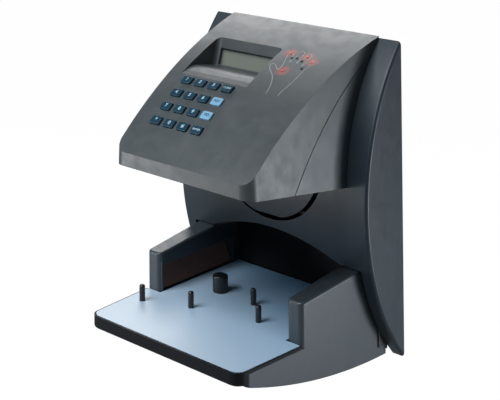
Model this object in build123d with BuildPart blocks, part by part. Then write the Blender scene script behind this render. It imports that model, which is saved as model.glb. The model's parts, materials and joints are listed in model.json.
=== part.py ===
from build123d import *
import os
from math import sqrt, atan2, sin, cos, pi

os.makedirs("parts", exist_ok=True)

# Hand-reading punch clock, wall mounted.
# X to the user's right, -Y out of the wall towards the user, Z up.
# Origin: wall plane, bottom of the base, centre line. Millimetres.

# ---------------------------------------------------------------- dimensions
WIDTH = 225.0            # base, side to side
HEIGHT = 296.0           # base, bottom to top
BOW = 60.5               # how far the base front bows out of its edges
SKIN = 2.5               # moulding wall
REAR_Y = -2.5            # open back of the base, just clear of the wall plate

PLATE_T = 2.0            # steel wall plate
PIVOT = (-6.0, 4.0)      # swing axis (Y, Z) at the bottom of the plate
PIN_R = 1.5
PIN_FIT = 0.05           # radial running clearance

TOP_C, TOP_R = (106.1, -127.6), 437.4        # head top, circle in YZ
SEAM_C, SEAM_R = (144.6, -9.6), 332.3        # joint line between cover and head body
LIP_Y = -191.3                                # front of the head
UNDER_A, UNDER_B = (-190.6, 180.2), (-63.3, 166.1)  # underside of the head
REVEAL = 1.0             # shadow gap between head and base
SEAM_GAP = 0.8
HEAD_A, HEAD_B, HEAD_C = 100.963, 0.06472, -0.04109  # |X| = A + B*Y + C*Z on the head sides
TRAY_A, TRAY_B = 99.04, 0.0486                        # |X| = A + B*Y on the tray sides

THROAT_C, THROAT_R = (0.0, 180.5), 64.5      # round opening in the base under the head
NECK_R = 61.0
ARCH_HALF, ARCH_SIDE_Z, ARCH_TOP_Z = 77.0, 90.5, 108.0
ARCH_X = 100.0           # half width of the passage that takes the tray

TRAY_BOTTOM_C, TRAY_BOTTOM_R = (-20.6, 620.1), 616.7
TRAY_FRONT = -206.0
TRAY_REAR = -12.0
DECK_FRONT = -217.0
DECK_Z0, DECK_Z1 = 42.5, 45.2
SHEET_Z = 45.7           # top of the reflective platen sheet
WALL_FRONT = -134.0
WALL_IN = 75.5           # inner face of each hand-rest wall
PINS = [(-77.1 + 3.0, -161.0), (-30.5, -140.6), (6.7, -93.7), (34.4, -121.3)]
POST = (-36.0, -91.0)

KEY_X = [-54.5, -37.8, -21.1, -4.4]
KEY_S = [124.4, 142.4, 160.4, 178.2]         # along the top surface, from its rear edge
KEY_W, KEY_L = 12.0, 9.0
KEY_PROUD, KEY_TRAVEL = 2.0, 1.3

LCD_X0, LCD_X1 = -68.5, 12.5
LCD_TOP = (-51.0, 281.8)     # (y, z) of the steep wall that carries the display
LCD_FOOT = (-59.8, 254.2)

LOCK_Y, LOCK_Z = -26.0, 190.0
TAMPER_X, TAMPER_Z = 84.0, 236.0
CAM_Y = -122.0           # camera axis over the platen
HOLE_X, HOLE_Z0, HOLE_Z1, HOLE_R = 80.0, 62.0, 262.0, 2.75   # wall fixing holes

# ---------------------------------------------------------------- geometry help
ARC_R = ((HEIGHT / 2) ** 2 + BOW ** 2) / (2 * BOW)
ARC_C = (-1.0 - BOW + ARC_R, HEIGHT / 2)


def meet(c1, r1, c2, r2):
    d = sqrt((c2[0] - c1[0]) ** 2 + (c2[1] - c1[1]) ** 2)
    a = (r1 * r1 - r2 * r2 + d * d) / (2 * d)
    h = sqrt(r1 * r1 - a * a)
    ex, ey = (c2[0] - c1[0]) / d, (c2[1] - c1[1]) / d
    p = (c1[0] + a * ex, c1[1] + a * ey)
    return [(p[0] - h * ey, p[1] + h * ex), (p[0] + h * ey, p[1] - h * ex)]


def between(c, r, p, q):
    a1, a2 = atan2(p[1] - c[1], p[0] - c[0]), atan2(q[1] - c[1], q[0] - c[0])
    d = (a2 - a1 + pi) % (2 * pi) - pi
    return (c[0] + r * cos(a1 + d / 2), c[1] + r * sin(a1 + d / 2))


def arc_y(z, grow=0.0):
    return ARC_C[0] - sqrt((ARC_R + grow) ** 2 - (z - ARC_C[1]) ** 2)


def arc_z(y, grow=0.0):
    """Half height of the base profile at depth y."""
    return sqrt((ARC_R + grow) ** 2 - (y - ARC_C[0]) ** 2)


def top_z(y, grow=0.0):
    return TOP_C[1] + sqrt((TOP_R + grow) ** 2 - (y - TOP_C[0]) ** 2)


def under_z(y):
    return UNDER_A[1] + (y - UNDER_A[0]) * (UNDER_B[1] - UNDER_A[1]) / (UNDER_B[0] - UNDER_A[0])


def tray_z(y, grow=0.0):
    return TRAY_BOTTOM_C[1] - sqrt((TRAY_BOTTOM_R + grow) ** 2 - (y - TRAY_BOTTOM_C[0]) ** 2)


def on_under(c, r):
    """Where a circle crosses the underside line, in front of its centre."""
    lo, hi = -190.0, -50.0
    for _ in range(60):
        m = (lo + hi) / 2
        if (m - c[0]) ** 2 + (under_z(m) - c[1]) ** 2 > r * r:
            lo = m
        else:
            hi = m
    return (lo, under_z(lo))


TOP_START = atan2(296.3 - TOP_C[1], -1.3 - TOP_C[0])


def on_top(s, grow=0.0):
    a = TOP_START + s / TOP_R
    return (TOP_C[0] + (TOP_R + grow) * cos(a), TOP_C[1] + (TOP_R + grow) * sin(a))


def top_plane(x, s, grow=0.0):
    """Plane lying on the head top: x to the right, y up the slope, z outwards."""
    a = TOP_START + s / TOP_R
    y, z = on_top(s, grow)
    return Plane(origin=(x, y, z), x_dir=(1, 0, 0), z_dir=(0, cos(a), sin(a)))


def head_side(side, inset=0.0):
    n = Vector(side, -HEAD_B, -HEAD_C).normalized()
    return Plane(origin=Vector(side * HEAD_A, 0, 0) - n * inset, z_dir=n)


def tray_side(side, inset=0.0):
    n = Vector(side, -TRAY_B, 0).normalized()
    return Plane(origin=Vector(side * TRAY_A, 0, 0) - n * inset, z_dir=n)


UNDER_DIR = Vector(0, UNDER_A[0] - UNDER_B[0], UNDER_A[1] - UNDER_B[1]).normalized()
UNDER_UP = Vector(0, UNDER_DIR.Z, -UNDER_DIR.Y)   # square to the underside, upwards


def under_plane(x, y, up=0.0):
    o = Vector(x, y, under_z(y)) + UNDER_UP * up
    return Plane(origin=o, x_dir=(1, 0, 0), z_dir=UNDER_UP)


# ---------------------------------------------------------------- base shell
with BuildPart() as base_solid:
    with BuildSketch(Plane.YZ):
        with BuildLine():
            h = arc_z(REAR_Y)
            ThreePointArc((REAR_Y, ARC_C[1] - h), (arc_y(ARC_C[1]), ARC_C[1]), (REAR_Y, ARC_C[1] + h))
            Line((REAR_Y, ARC_C[1] + h), (REAR_Y, ARC_C[1] - h))
        make_face()
    extrude(amount=WIDTH / 2, both=True)
    fillet(base_solid.edges().filter_by(GeomType.CIRCLE), radius=3.0)

with BuildPart() as arch_lining:
    with BuildSketch(Plane.XZ):
        with BuildLine():
            Polyline((-ARCH_HALF - 0.8, ARCH_SIDE_Z + 2), (-ARCH_X - 2, ARCH_SIDE_Z + 2), (-ARCH_X - 2, -20),
                     (ARCH_X + 2, -20), (ARCH_X + 2, ARCH_SIDE_Z + 2), (ARCH_HALF + 0.8, ARCH_SIDE_Z + 2))
            ThreePointArc((ARCH_HALF + 0.8, ARCH_SIDE_Z + 2), (0, ARCH_TOP_Z + 2), (-ARCH_HALF - 0.8, ARCH_SIDE_Z + 2))
        make_face()
    extrude(amount=90, both=True)

with BuildPart() as base_void:
    with BuildSketch(Plane.YZ):
        with BuildLine():
            h = arc_z(3.0, -SKIN)
            ThreePointArc((3.0, ARC_C[1] - h), (arc_y(ARC_C[1], -SKIN), ARC_C[1]), (3.0, ARC_C[1] + h))
            Line((3.0, ARC_C[1] + h), (3.0, ARC_C[1] - h))
        make_face()
    extrude(amount=WIDTH / 2 - SKIN, both=True)
    add(arch_lining.part, mode=Mode.SUBTRACT)

POSTS = [(-95, 258), (95, 258), (-95, 128), (95, 128)]
with BuildPart() as base_posts:
    with BuildSketch(Plane.XZ.offset(5.2)):
        with Locations(*POSTS):
            Circle(4.0)
            Circle(1.25, mode=Mode.SUBTRACT)
    extrude(amount=80)
    add(base_solid.part, mode=Mode.INTERSECT)

with BuildPart() as base_shell:
    add(base_solid.part)
    add(base_void.part, mode=Mode.SUBTRACT)
    with BuildSketch(Plane.XZ):
        with BuildLine():
            Polyline((-ARCH_HALF, ARCH_SIDE_Z), (-ARCH_X, ARCH_SIDE_Z), (-ARCH_X, -20),
                     (ARCH_X, -20), (ARCH_X, ARCH_SIDE_Z), (ARCH_HALF, ARCH_SIDE_Z))
            ThreePointArc((ARCH_HALF, ARCH_SIDE_Z), (0, ARCH_TOP_Z), (-ARCH_HALF, ARCH_SIDE_Z))
        make_face()
    extrude(amount=90, both=True, mode=Mode.SUBTRACT)
    with BuildSketch(Plane.XZ.offset(30)):
        with Locations(THROAT_C):
            Circle(THROAT_R)
    extrude(amount=60, mode=Mode.SUBTRACT)
    add(base_posts.part)
    with BuildSketch(Plane.YZ.offset(-WIDTH / 2 - 1)):
        with Locations((LOCK_Y, LOCK_Z)):
            Circle(9.1)
    extrude(amount=5, mode=Mode.SUBTRACT)
base_shell.part.label = "base_shell"
export_step(base_shell.part, "parts/base_shell.step")

# ---------------------------------------------------------------- head envelope
TOP_REAR = max(meet(TOP_C, TOP_R, ARC_C, ARC_R + REVEAL), key=lambda p: p[1])
LIP_TOP = (LIP_Y, top_z(LIP_Y))
LIP_LOW = (LIP_Y, under_z(LIP_Y))


def seam_points(r):
    low = on_under(SEAM_C, r)
    high = max(meet(SEAM_C, r, ARC_C, ARC_R + REVEAL), key=lambda p: p[1])
    return low, high


cov_low, cov_high = seam_points(SEAM_R + SEAM_GAP / 2)
with BuildPart() as cover_solid:
    with BuildSketch(Plane.YZ):
        with BuildLine():
            ThreePointArc(TOP_REAR, between(TOP_C, TOP_R, TOP_REAR, LIP_TOP), LIP_TOP)
            Polyline(LIP_TOP, LIP_LOW, cov_low)
            ThreePointArc(cov_low, between(SEAM_C, SEAM_R + SEAM_GAP / 2, cov_low, cov_high), cov_high)
            ThreePointArc(cov_high, between(ARC_C, ARC_R + REVEAL, cov_high, TOP_REAR), TOP_REAR)
        make_face()
    extrude(amount=100, both=True)
    split(bisect_by=head_side(1), keep=Keep.BOTTOM)
    split(bisect_by=head_side(-1), keep=Keep.BOTTOM)
    fillet(cover_solid.edges().filter_by(lambda e: e.center().Y < LIP_Y + 0.5 and abs(e.center().X) > 60), radius=12)
    crown = cover_solid.faces().sort_by(lambda f: f.center().Z)[-1]
    fillet(crown.edges().filter_by(lambda e: e.center().Y < -10), radius=2.6)

with BuildPart() as cover_void:
    with BuildSketch(Plane.YZ):
        with BuildLine():
            a = (LIP_Y + SKIN, 150)
            b = (LIP_Y + SKIN, top_z(LIP_Y + SKIN, -SKIN))
            c = (10, top_z(10, -SKIN))
            Line(a, b)
            ThreePointArc(b, between(TOP_C, TOP_R - SKIN, b, c), c)
            Polyline(c, (10, 150), a)
        make_face()
    extrude(amount=100, both=True)
    split(bisect_by=head_side(1, SKIN), keep=Keep.BOTTOM)
    split(bisect_by=head_side(-1, SKIN), keep=Keep.BOTTOM)
    fillet(cover_void.edges().filter_by(lambda e: e.center().Y < LIP_Y + SKIN + 0.5 and abs(e.center().X) > 60), radius=9.5)

RECESS = [(-38.8, 320), LCD_FOOT, (-70.0, 255.5), (-80.0, 257.1), (-87.3, 258.2), (-91.3, 258.4), (-96.7, 257.6),
          (-102.7, 255.8), (-108.6, 253.35), (-110.0, 258), (-110.0, 320)]
with BuildPart() as lcd_tub:
    with BuildSketch(Plane.YZ.offset((LCD_X0 + LCD_X1) / 2)):
        with BuildLine():
            Polyline((-42.3, 300), (-48.4, 281.0), (-57.8, 251.5), (-70.0, 252.8), (-80.0, 254.4), (-88.0, 255.5),
                     (-96.0, 255.0), (-103.0, 253.0), (-110.3, 250.2), (-110.3, 300), close=True)
        make_face()
    extrude(amount=(LCD_X1 - LCD_X0) / 2 + 2, both=True)
    add(cover_solid.part, mode=Mode.INTERSECT)

with BuildPart() as lcd_recess:
    with BuildSketch(Plane.YZ.offset((LCD_X0 + LCD_X1) / 2)):
        with BuildLine():
            Polyline(*RECESS, close=True)
        make_face()
    extrude(amount=(LCD_X1 - LCD_X0) / 2, both=True)
    fillet(lcd_recess.edges().filter_by(lambda e: e.center().Y > -55 and e.length > 40 and e.center().Z < 300
                                        and abs(e.center().X - (LCD_X0 + LCD_X1) / 2) > 20), radius=5.0)

LCD_UP = Vector(0, -(LCD_TOP[1] - LCD_FOOT[1]), LCD_TOP[0] - LCD_FOOT[0]).normalized()
LCD_MID = Vector((LCD_X0 + LCD_X1) / 2, -57.22, 262.3)


def lcd_plane(up=0.0):
    return Plane(origin=LCD_MID + LCD_UP * up, x_dir=(1, 0, 0), z_dir=LCD_UP)


BOSSES = [(-74.0, -118.0), (74.0, -118.0), (-68.0, -174.0), (68.0, -174.0)]
with BuildPart() as cover_bosses:
    for bx, by in BOSSES:
        with BuildSketch(under_plane(bx, by, SKIN)):
            Circle(3.6)
        extrude(amount=120)
    add(cover_solid.part, mode=Mode.INTERSECT)

LED_SPOTS = [(24.5, 57.5), (45.2, 59.0), (55.0, 65.5), (33.5, 85.5)]   # x, s on the head top
with BuildPart() as top_cover:
    add(cover_solid.part)
    add(cover_void.part, mode=Mode.SUBTRACT)
    add(lcd_tub.part)
    add(cover_bosses.part)
    add(lcd_recess.part, mode=Mode.SUBTRACT)
    with BuildSketch(lcd_plane(1.0)):
        with Locations((-3.0, 0.5)):
            RectangleRounded(65, 16.2, 0.8)
    extrude(amount=-8, mode=Mode.SUBTRACT)
    for ks in KEY_S:
        for kx in KEY_X:
            with BuildSketch(top_plane(kx, ks, 2.0)):
                RectangleRounded(KEY_W + 0.6, KEY_L + 0.6, 1.6)
            extrude(amount=-7, mode=Mode.SUBTRACT)
    for lx, ls in LED_SPOTS:
        with BuildSketch(top_plane(lx, ls, 2.0)):
            Circle(1.6)
        extrude(amount=-7, mode=Mode.SUBTRACT)
    for bx, by in BOSSES:
        with BuildSketch(under_plane(bx, by, SKIN - 1)):
            Circle(1.25)
        extrude(amount=9, mode=Mode.SUBTRACT)
top_cover.part.label = "top_cover"
export_step(top_cover.part, "parts/top_cover.step")

# ---------------------------------------------------------------- head body: cheeks, floor and rear wall
chk_low, chk_high = seam_points(SEAM_R - SEAM_GAP / 2)
HEAD_ROOT = on_under(ARC_C, ARC_R + REVEAL)
with BuildPart() as head_void:
    with BuildSketch(Plane.YZ):
        with BuildLine():
            r = ARC_R + REVEAL + 2.0
            y1 = on_under(ARC_C, r)[0]
            for _ in range(6):
                y1 = ARC_C[0] - sqrt(r * r - (under_z(y1) + SKIN - ARC_C[1]) ** 2)
            p1 = (y1, under_z(y1) + SKIN)
            p2 = (ARC_C[0] - sqrt(r * r - (292.0 - ARC_C[1]) ** 2), 292.0)
            ThreePointArc(p1, between(ARC_C, r, p1, p2), p2)
            Polyline(p2, (-250, 300), (-250, under_z(-250) + SKIN), p1)
        make_face()
    extrude(amount=110, both=True)
    split(bisect_by=head_side(1, SKIN), keep=Keep.BOTTOM)
    split(bisect_by=head_side(-1, SKIN), keep=Keep.BOTTOM)

with BuildPart() as head_floor_strip:
    with BuildSketch(Plane.YZ):
        with BuildLine():
            Polyline((-126, under_z(-126)), (-188.4, under_z(-188.4)), (-188.4, under_z(-188.4) + SKIN),
                     (-126, under_z(-126) + SKIN), close=True)
        make_face()
    extrude(amount=100, both=True)
    split(bisect_by=head_side(1, SKIN + 0.3), keep=Keep.BOTTOM)
    split(bisect_by=head_side(-1, SKIN + 0.3), keep=Keep.BOTTOM)
    fillet(head_floor_strip.edges().filter_by(lambda e: e.center().Y < -188 and abs(e.center().X) > 60), radius=9.5)

with BuildPart() as head_body:
    with BuildSketch(Plane.YZ):
        with BuildLine():
            ThreePointArc(HEAD_ROOT, between(ARC_C, ARC_R + REVEAL, HEAD_ROOT, chk_high), chk_high)
            ThreePointArc(chk_high, between(SEAM_C, SEAM_R - SEAM_GAP / 2, chk_high, chk_low), chk_low)
            Line(chk_low, HEAD_ROOT)
        make_face()
    extrude(amount=100, both=True)
    split(bisect_by=head_side(1), keep=Keep.BOTTOM)
    split(bisect_by=head_side(-1), keep=Keep.BOTTOM)
    add(head_void.part, mode=Mode.SUBTRACT)
    add(head_floor_strip.part)
    with BuildSketch(Plane.XZ.offset(40)):
        with Locations((0, 205)):
            Circle(36)
    extrude(amount=60, mode=Mode.SUBTRACT)
    with BuildSketch(under_plane(0, CAM_Y, -1)):
        Rectangle(64, 40)
    extrude(amount=5, mode=Mode.SUBTRACT)
    for bx, by in BOSSES:
        with BuildSketch(under_plane(bx, by, -1)):
            Circle(1.5)
        extrude(amount=5, mode=Mode.SUBTRACT)
head_body.part.label = "head_body"
export_step(head_body.part, "parts/head_body.step")

# ---------------------------------------------------------------- neck panel in the round opening
with BuildPart() as neck_core:
    with BuildSketch(Plane.YZ):
        with BuildLine():
            r = ARC_R + 2.0 - SKIN
            p, q = (ARC_C[0] - sqrt(r * r - 60 ** 2), ARC_C[1] - 60), (ARC_C[0] - sqrt(r * r - 60 ** 2), ARC_C[1] + 60)
            ThreePointArc(p, (ARC_C[0] - r, ARC_C[1]), q)
            Polyline(q, (-30, q[1]), (-30, p[1]), p)
        make_face()
    extrude(amount=NECK_R - SKIN, both=True)

with BuildPart() as neck_round:
    with BuildSketch(Plane.XZ.offset(30)):
        with Locations(THROAT_C):
            Circle(NECK_R - SKIN)
        with Locations((0, 220)):
            Rectangle(150, 2 * (220 - 162.7), mode=Mode.SUBTRACT)
        with Locations((0, 100)):
            Rectangle(150, 2 * 24.0, mode=Mode.SUBTRACT)
    extrude(amount=50)
    add(neck_core.part, mode=Mode.INTERSECT)

with BuildPart() as neck_panel:
    with BuildSketch(Plane.YZ):
        with BuildLine():
            r, g = ARC_R + 2.0, ARC_R - 9.0
            p = (ARC_C[0] - sqrt(r * r - 60 ** 2), ARC_C[1] - 60)
            q = (p[0], ARC_C[1] + 60)
            p2 = (ARC_C[0] - sqrt(g * g - 60 ** 2), ARC_C[1] - 60)
            q2 = (p2[0], ARC_C[1] + 60)
            ThreePointArc(p, (ARC_C[0] - r, ARC_C[1]), q)
            Line(q, q2)
            ThreePointArc(q2, (ARC_C[0] - g, ARC_C[1]), p2)
            Line(p2, p)
        make_face()
    extrude(amount=80, both=True)
    with BuildSketch(Plane.XZ.offset(30)):
        with Locations(THROAT_C):
            Circle(NECK_R)
        with Locations((0, 220)):
            Rectangle(150, 2 * (220 - 165.2), mode=Mode.SUBTRACT)
        with Locations((0, 100)):
            Rectangle(150, 2 * 21.5, mode=Mode.SUBTRACT)
    extrude(amount=50, mode=Mode.INTERSECT)
    add(neck_round.part, mode=Mode.SUBTRACT)
neck_panel.part.label = "neck_panel"
export_step(neck_panel.part, "parts/neck_panel.step")

# ---------------------------------------------------------------- tray
with BuildPart() as tray_void:
    with BuildSketch(Plane.YZ):
        with BuildLine():
            p = (TRAY_FRONT + SKIN, tray_z(TRAY_FRONT + SKIN, -SKIN))
            q = (TRAY_REAR - 2.0, tray_z(TRAY_REAR - 2.0, -SKIN))
            ThreePointArc(p, between(TRAY_BOTTOM_C, TRAY_BOTTOM_R - SKIN, p, q), q)
            Polyline(q, (q[0], 60), (p[0], 60), p)
        make_face()
    extrude(amount=110, both=True)
    split(bisect_by=tray_side(1, SKIN), keep=Keep.BOTTOM)
    split(bisect_by=tray_side(-1, SKIN), keep=Keep.BOTTOM)

WALL_LINE = [(WALL_FRONT, DECK_Z0), (WALL_FRONT, 82.0), (-50.0, 90.0), (TRAY_REAR, 90.0), (TRAY_REAR, DECK_Z0)]
WALL_CORE = [(WALL_FRONT + SKIN, DECK_Z0 - 5), (WALL_FRONT + SKIN, 79.4), (-50.2, 87.4), (TRAY_REAR - SKIN, 87.4),
             (TRAY_REAR - SKIN, DECK_Z0 - 5)]


def hand_wall(side):
    with BuildPart() as wall:
        with BuildSketch(Plane.YZ.offset(side * WALL_IN)):
            with BuildLine():
                Polyline(*WALL_LINE, close=True)
            make_face()
        extrude(amount=side * 30)
        split(bisect_by=tray_side(side), keep=Keep.BOTTOM)
        fillet(wall.edges().filter_by(lambda e: abs(e.center().Y - WALL_FRONT) < 1.5 and 50 < e.center().Z < 75), radius=5.0)
        fillet(wall.edges().filter_by(lambda e: e.center().Z > 79.0 and e.center().Y < TRAY_REAR - 1
                                      and not (abs(e.center().Y + 50.0) < 0.1 and abs(e.center().X - side * 85) < 4)), radius=2.5)
    return wall.part


def hand_wall_core(side):
    with BuildPart() as core:
        with BuildSketch(Plane.YZ.offset(side * (WALL_IN + SKIN))):
            with BuildLine():
                Polyline(*WALL_CORE, close=True)
            make_face()
        extrude(amount=side * 30)
        split(bisect_by=tray_side(side, SKIN), keep=Keep.BOTTOM)
    return core.part


MIRROR_Y0, MIRROR_Y1 = -129.5, -24.0
# leaning slot for the side mirror in the left wall, section in XZ
MIRROR_SLOT = [(-70.0, 45.2), (-79.6, 45.2), (-89.3, 68.0), (-70.0, 71.5)]
with BuildPart() as mirror_slot:
    with BuildSketch(Plane.XZ.offset(-MIRROR_Y1)):
        with BuildLine():
            Polyline(*MIRROR_SLOT, close=True)
        make_face()
    extrude(amount=MIRROR_Y1 - MIRROR_Y0)

with BuildPart() as mirror_slot_wall:
    with BuildSketch(Plane.XZ.offset(-MIRROR_Y1 - 2)):
        with BuildLine():
            Polyline((-WALL_IN, 43.5), (-81.2, 43.5), (-91.5, 68.6), (-90.5, 73.2), (-WALL_IN, 73.2), close=True)
        make_face()
    extrude(amount=MIRROR_Y1 - MIRROR_Y0 + 4)

with BuildPart() as tray_shell:
    with BuildSketch(Plane.YZ):
        with BuildLine():
            p = (TRAY_FRONT, tray_z(TRAY_FRONT))
            q = (TRAY_REAR, tray_z(TRAY_REAR))
            ThreePointArc(p, between(TRAY_BOTTOM_C, TRAY_BOTTOM_R, p, q), q)
            Polyline(q, (TRAY_REAR, DECK_Z0), (TRAY_FRONT, DECK_Z0), p)
        make_face()
    extrude(amount=110, both=True)
    split(bisect_by=tray_side(1), keep=Keep.BOTTOM)
    split(bisect_by=tray_side(-1), keep=Keep.BOTTOM)
    fillet(tray_shell.edges().filter_by(GeomType.CIRCLE) + tray_shell.edges().filter_by(
        lambda e: abs(e.center().Y - TRAY_FRONT) < 0.1 and abs(e.center().X) > 60), radius=4.0)
    add(tray_void.part, mode=Mode.SUBTRACT)
    add(hand_wall(1))
    add(hand_wall(-1))
    add(hand_wall_core(1), mode=Mode.SUBTRACT)
    add(hand_wall_core(-1), mode=Mode.SUBTRACT)
    add(mirror_slot_wall.part)
    add(mirror_slot.part, mode=Mode.SUBTRACT)
tray_shell.part.label = "tray_shell"
export_step(tray_shell.part, "parts/tray_shell.step")

with BuildPart() as platen_deck:
    with BuildSketch(Plane.YZ):
        with BuildLine():
            Polyline((DECK_FRONT, 33.9), (DECK_FRONT, DECK_Z1), (TRAY_REAR - 2, DECK_Z1), (TRAY_REAR - 2, DECK_Z0),
                     (TRAY_FRONT - 0.3, DECK_Z0), (TRAY_FRONT - 0.3, 33.9), close=True)
        make_face()
    extrude(amount=110, both=True)
    split(bisect_by=tray_side(1), keep=Keep.BOTTOM)
    split(bisect_by=tray_side(-1), keep=Keep.BOTTOM)
    fillet(platen_deck.edges().filter_by(lambda e: abs(e.center().Y - DECK_FRONT) < 0.1 and abs(e.center().X) > 60), radius=11)
    fillet(platen_deck.edges().filter_by(lambda e: e.center().Y < TRAY_FRONT - 1 and e.center().Z < 34.2), radius=2.2)
    with BuildSketch(Plane.XY.offset(DECK_Z0 - 2)):
        with Locations((WALL_IN - 0.2 + 25, WALL_FRONT - 0.3 + 80), (-(WALL_IN - 0.2 + 25), WALL_FRONT - 0.3 + 80)):
            Rectangle(50, 160)
    extrude(amount=6, mode=Mode.SUBTRACT)
    with BuildSketch(Plane.XY.offset(DECK_Z0 - 2)):
        with Locations(*PINS):
            Circle(1.8)
        with Locations(POST):
            Circle(3.0)
    extrude(amount=6, mode=Mode.SUBTRACT)
platen_deck.part.label = "platen_deck"
export_step(platen_deck.part, "parts/platen_deck.step")

with BuildPart() as platen_sheet:
    with BuildSketch(Plane.YZ):
        with BuildLine():
            Polyline((DECK_FRONT + 2.2, DECK_Z1), (DECK_FRONT + 2.2, SHEET_Z), (TRAY_REAR - 3, SHEET_Z), (TRAY_REAR - 3, DECK_Z1), close=True)
        make_face()
    extrude(amount=110, both=True)
    split(bisect_by=tray_side(1, 1.8), keep=Keep.BOTTOM)
    split(bisect_by=tray_side(-1, 1.8), keep=Keep.BOTTOM)
    fillet(platen_sheet.edges().filter_by(lambda e: abs(e.center().Y - DECK_FRONT - 2.2) < 0.1 and abs(e.center().X) > 60), radius=9)
    with BuildSketch(Plane.XY.offset(DECK_Z0)):
        with Locations((WALL_IN - 0.6 + 25, WALL_FRONT - 0.8 + 80), (-(WALL_IN - 0.6 + 25), WALL_FRONT - 0.8 + 80)):
            Rectangle(50, 160)
        with Locations(*PINS):
            Circle(1.8)
        with Locations(POST):
            Circle(3.0)
    extrude(amount=6, mode=Mode.SUBTRACT)
platen_sheet.part.label = "platen_sheet"
export_step(platen_sheet.part, "parts/platen_sheet.step")

# ---------------------------------------------------------------- guide pins and web post
with BuildPart() as finger_pins:
    with BuildSketch(Plane.XY.offset(SHEET_Z)):
        with Locations(*PINS):
            Circle(2.75)
    extrude(amount=15.3)
    fillet(finger_pins.edges().filter_by(lambda e: e.center().Z > SHEET_Z + 15), radius=2.0)
    with BuildSketch(Plane.XY.offset(DECK_Z0 - 5)):
        with Locations(*PINS):
            Circle(1.8)
    extrude(amount=SHEET_Z - DECK_Z0 + 5)
finger_pins.part.label = "finger_pins"
export_step(finger_pins.part, "parts/finger_pins.step")

with BuildPart() as web_post:
    with BuildSketch(Plane.XY.offset(SHEET_Z)):
        with Locations(POST):
            Circle(7.5)
    extrude(amount=15.8)
    fillet(web_post.edges().filter_by(lambda e: e.center().Z > SHEET_Z + 15), radius=1.6)
    with BuildSketch(Plane.XY.offset(DECK_Z0 - 5)):
        with Locations(POST):
            Circle(3.0)
    extrude(amount=SHEET_Z - DECK_Z0 + 5)
web_post.part.label = "web_post"
export_step(web_post.part, "parts/web_post.step")

with BuildPart() as pin_nuts:
    with BuildSketch(Plane.XY.offset(DECK_Z0 - 2.6)):
        with Locations(*PINS):
            RegularPolygon(3.6, 6)
            Circle(1.8, mode=Mode.SUBTRACT)
        with Locations(POST):
            RegularPolygon(6.0, 6)
            Circle(3.0, mode=Mode.SUBTRACT)
    extrude(amount=2.6)
pin_nuts.part.label = "pin_nuts"
export_step(pin_nuts.part, "parts/pin_nuts.step")

# ---------------------------------------------------------------- side mirror
with BuildPart() as mirror_holder:
    with BuildSketch(Plane.XZ.offset(-MIRROR_Y1 + 0.2)):
        with BuildLine():
            Polyline((-79.45, 45.75), (-88.95, 67.9), (-86.9, 68.3), (-86.6, 67.2), (-87.7, 66.8), (-79.1, 46.8),
                     (-77.7, 46.8), (-77.3, 45.75), close=True)
        make_face()
    extrude(amount=MIRROR_Y1 - MIRROR_Y0 - 0.4)
mirror_holder.part.label = "mirror_holder"
export_step(mirror_holder.part, "parts/mirror_holder.step")

with BuildPart() as side_mirror:
    with BuildSketch(Plane.XZ.offset(-MIRROR_Y1 + 1.0)):
        with BuildLine():
            Polyline((-78.95, 46.9), (-87.5, 66.78), (-86.4, 67.1), (-77.75, 46.9), close=True)
        make_face()
    extrude(amount=MIRROR_Y1 - MIRROR_Y0 - 2.0)
side_mirror.part.label = "side_mirror"
export_step(side_mirror.part, "parts/side_mirror.step")

# ---------------------------------------------------------------- throat liner behind the platen
with BuildPart() as throat_liner:
    with BuildSketch(Plane.XZ.offset(-TRAY_REAR)):
        with BuildLine():
            Polyline((-ARCH_HALF, ARCH_SIDE_Z - 0.2), (-WALL_IN + 0.3, ARCH_SIDE_Z - 0.2), (-WALL_IN + 0.3, SHEET_Z),
                     (WALL_IN - 0.3, SHEET_Z), (WALL_IN - 0.3, ARCH_SIDE_Z - 0.2), (ARCH_HALF, ARCH_SIDE_Z - 0.2))
            ThreePointArc((ARCH_HALF, ARCH_SIDE_Z - 0.2), (0, ARCH_TOP_Z - 0.3), (-ARCH_HALF, ARCH_SIDE_Z - 0.2))
        make_face()
    extrude(amount=40)
    with BuildSketch(Plane.XZ.offset(-TRAY_REAR + 1.6)):
        with BuildLine():
            Polyline((-72, ARCH_SIDE_Z + 0.2), (-80, ARCH_SIDE_Z + 0.2), (-80, 30), (80, 30), (80, ARCH_SIDE_Z + 0.2),
                     (72, ARCH_SIDE_Z + 0.2))
            ThreePointArc((72, ARCH_SIDE_Z + 0.2), (0, ARCH_TOP_Z - 1.7), (-72, ARCH_SIDE_Z + 0.2))
        make_face()
    extrude(amount=60, mode=Mode.SUBTRACT)
throat_liner.part.label = "throat_liner"
export_step(throat_liner.part, "parts/throat_liner.step")

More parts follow.
